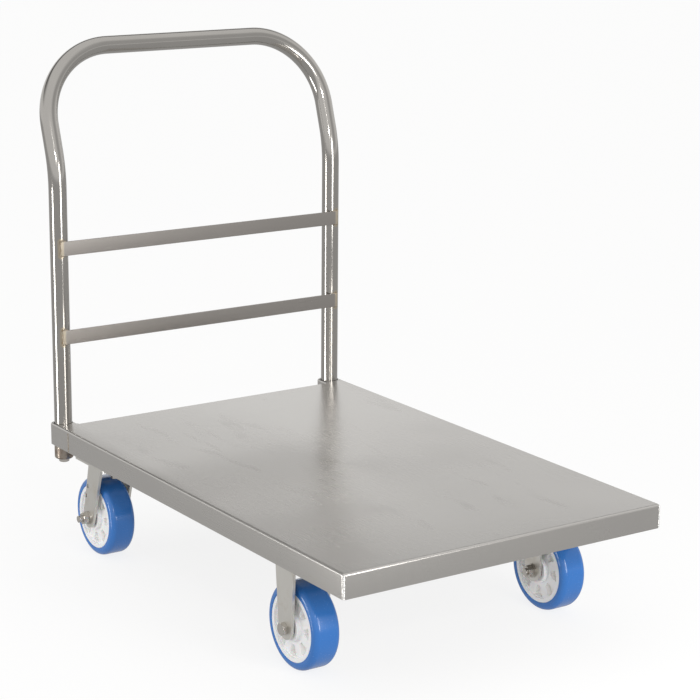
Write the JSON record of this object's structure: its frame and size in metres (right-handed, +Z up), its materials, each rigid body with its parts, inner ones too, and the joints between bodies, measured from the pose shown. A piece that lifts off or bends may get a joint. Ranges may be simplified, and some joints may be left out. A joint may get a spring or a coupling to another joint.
{
  "type": "flatbed platform truck",
  "caption": "Flatbed platform truck with a folded stainless deck, rigid front and swivel rear casters, and a bent-tube push handle with flat crossbars in rear sockets.",
  "frame": {"origin": "on the floor, midway along and across the whole truck", "axes": "+X forward, from the handle towards the rigid casters; +Y left; +Z up"},
  "size_m": [1.0166, 0.6114, 0.9028],
  "materials": {
    "brushed_sheet": "brushed stainless sheet",
    "channel_steel": "mill-finish stainless",
    "polished_tube": "polished stainless tube",
    "flat_bar": "brushed stainless bar",
    "tinted_steel": "heat-tinted stainless",
    "fork_steel": "pressed stainless, satin",
    "fasteners": "stainless fasteners",
    "sleeve_steel": "turned stainless",
    "ball_steel": "polished balls",
    "blue_tread": "glossy cast polyurethane",
    "white_core": "moulded polyamide",
    "bush_plastic": "moulded acetal"
  },
  "bodies": {
    "truck": {"deck_pan": "brushed_sheet", "front_cross_channel": "channel_steel", "rear_cross_channel": "channel_steel", "centre_stiffener": "channel_steel", "front_weld_nuts": "fasteners", "rear_weld_nuts": "fasteners", "handle_tube": "polished_tube", "handle_crossbar_lower": "flat_bar", "handle_crossbar_upper": "flat_bar", "handle_socket_left": "brushed_sheet", "socket_spud_left": "tinted_steel", "tube_plug_left": "fasteners", "handle_bolt_left": "fasteners", "front_left_top_plate": "fork_steel", "front_left_plate_bolts": "fasteners", "front_left_fork": "fork_steel", "front_left_axle_bolt": "fasteners", "front_left_axle_nut": "fasteners", "front_left_axle_sleeve": "sleeve_steel", "rear_left_top_plate": "fork_steel", "rear_left_plate_bolts": "fasteners", "rear_left_kingpin": "fasteners", "rear_left_kingpin_nut": "fasteners", "handle_socket_right": "brushed_sheet", "socket_spud_right": "tinted_steel", "tube_plug_right": "fasteners", "handle_bolt_right": "fasteners", "front_right_top_plate": "fork_steel", "front_right_plate_bolts": "fasteners", "front_right_fork": "fork_steel", "front_right_axle_bolt": "fasteners", "front_right_axle_nut": "fasteners", "front_right_axle_sleeve": "sleeve_steel", "rear_right_top_plate": "fork_steel", "rear_right_plate_bolts": "fasteners", "rear_right_kingpin": "fasteners", "rear_right_kingpin_nut": "fasteners"},
    "front_left_wheel": {"front_left_tread": "blue_tread", "front_left_wheel_core": "white_core", "front_left_wheel_bushes": "bush_plastic"},
    "rear_left_swivel": {"rear_left_fork": "fork_steel", "rear_left_axle_bolt": "fasteners", "rear_left_axle_nut": "fasteners", "rear_left_axle_sleeve": "sleeve_steel", "rear_left_swivel_balls": "ball_steel"},
    "rear_left_wheel": {"rear_left_tread": "blue_tread", "rear_left_wheel_core": "white_core", "rear_left_wheel_bushes": "bush_plastic"},
    "front_right_wheel": {"front_right_tread": "blue_tread", "front_right_wheel_core": "white_core", "front_right_wheel_bushes": "bush_plastic"},
    "rear_right_swivel": {"rear_right_fork": "fork_steel", "rear_right_axle_bolt": "fasteners", "rear_right_axle_nut": "fasteners", "rear_right_axle_sleeve": "sleeve_steel", "rear_right_swivel_balls": "ball_steel"},
    "rear_right_wheel": {"rear_right_tread": "blue_tread", "rear_right_wheel_core": "white_core", "rear_right_wheel_bushes": "bush_plastic"}
  },
  "joints": [
    {"name": "front_left_wheel_spin", "type": "hinge", "parent": "truck", "child": "front_left_wheel", "pos_m": [0.30688, 0.2431, 0.0705], "axis": [0, 1, 0], "continuous": true},
    {"name": "rear_left_swivel_turn", "type": "hinge", "parent": "truck", "child": "rear_left_swivel", "pos_m": [-0.29892, 0.2507, 0.17], "axis": [0, 0, 1], "continuous": true},
    {"name": "rear_left_wheel_spin", "type": "hinge", "parent": "rear_left_swivel", "child": "rear_left_wheel", "pos_m": [-0.33692, 0.2507, 0.0705], "axis": [0, 1, 0], "continuous": true},
    {"name": "front_right_wheel_spin", "type": "hinge", "parent": "truck", "child": "front_right_wheel", "pos_m": [0.30688, -0.2431, 0.0705], "axis": [0, 1, 0], "continuous": true},
    {"name": "rear_right_swivel_turn", "type": "hinge", "parent": "truck", "child": "rear_right_swivel", "pos_m": [-0.29892, -0.2507, 0.17], "axis": [0, 0, 1], "continuous": true},
    {"name": "rear_right_wheel_spin", "type": "hinge", "parent": "rear_right_swivel", "child": "rear_right_wheel", "pos_m": [-0.33692, -0.2507, 0.0705], "axis": [0, 1, 0], "continuous": true}
  ]
}
